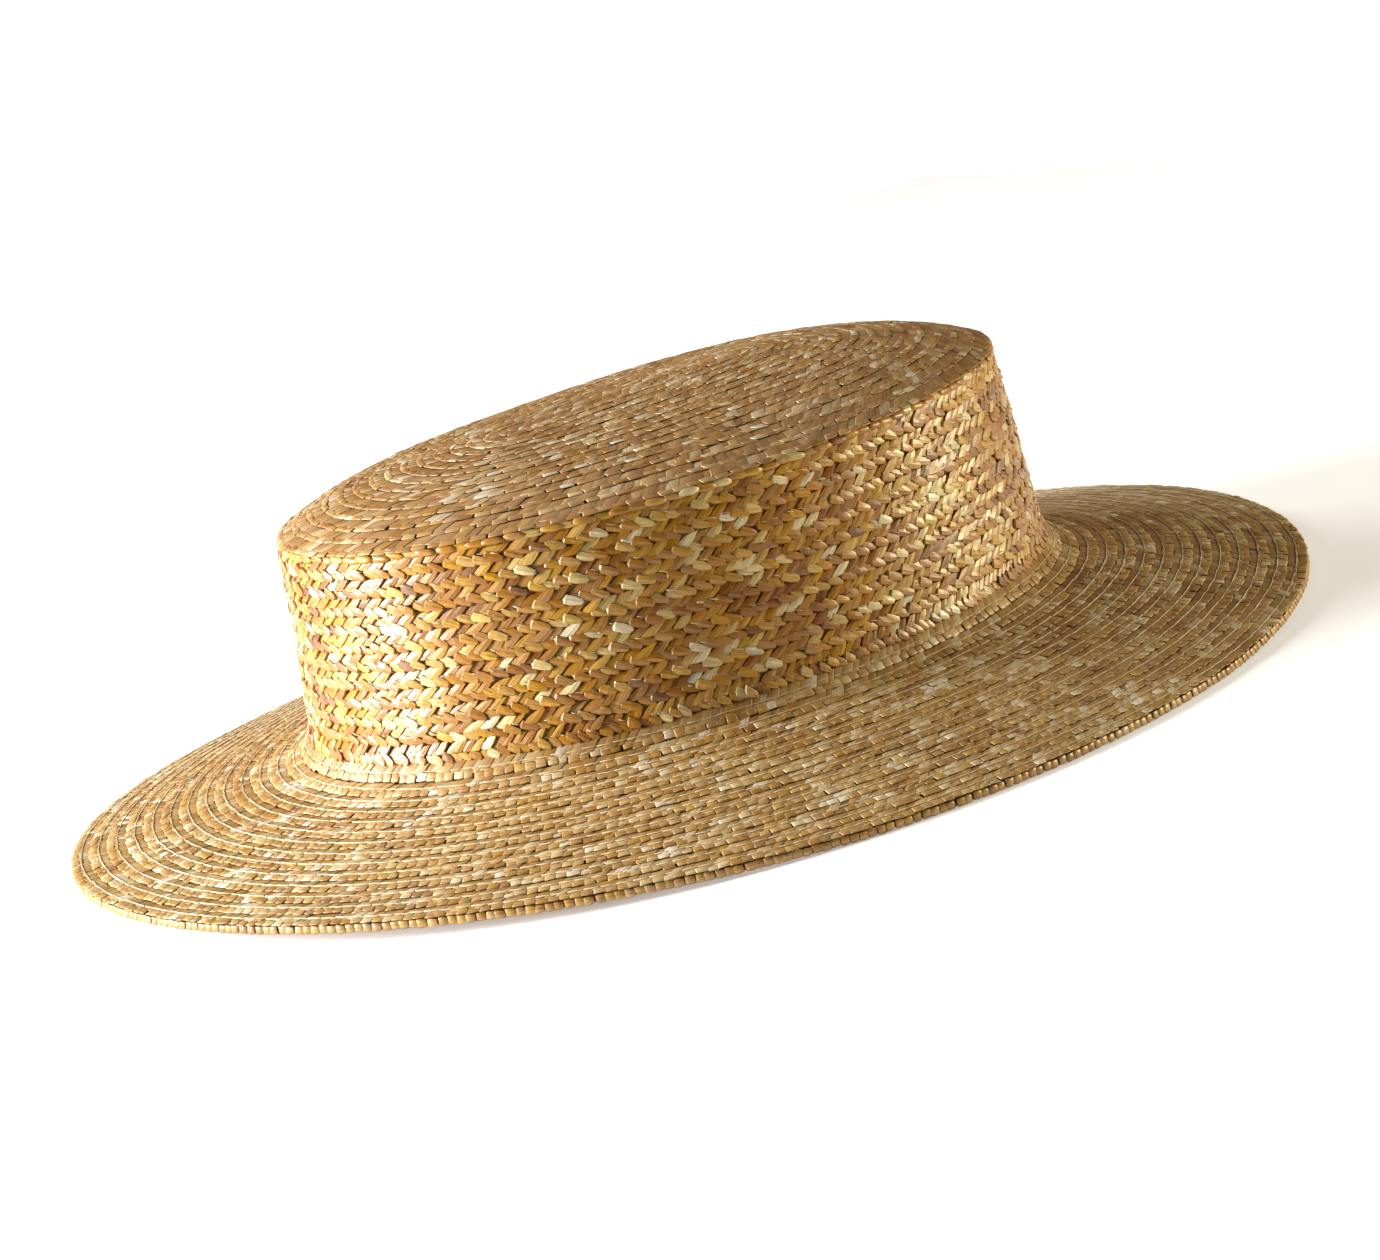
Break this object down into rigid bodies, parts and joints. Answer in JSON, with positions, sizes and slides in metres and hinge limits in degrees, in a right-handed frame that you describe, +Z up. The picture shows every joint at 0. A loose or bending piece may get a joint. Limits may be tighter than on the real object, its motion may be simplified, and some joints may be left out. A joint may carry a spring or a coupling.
{
  "type": "straw boater hat",
  "caption": "Oval straw boater sewn from one lapped plait: low crown with a gently domed tip, small cove, and an even brim that falls to a doubled edge.",
  "frame": {"origin": "centre of the bounding box's footprint, at the surface that the brim edge rests on", "axes": "+X along the length of the head, +Y across it, +Z up through the crown"},
  "size_m": [0.334, 0.2848, 0.0826],
  "materials": {
    "pressed_straw": "wheat straw plait pressed flat, satin, greyish tan",
    "golden_straw": "wheat straw plait, crowned and glossy, golden ochre with near-white and brown straws",
    "sewn_straw": "wheat straw plait pressed flat, satin, with a pale sewing thread along each row",
    "edge_straw": "wheat straw plait folded over the edge, satin, golden"
  },
  "bodies": {
    "root": {"crown_tip": "pressed_straw", "crown_side": "golden_straw", "brim": "sewn_straw", "brim_edge": "edge_straw"}
  },
  "joints": []
}
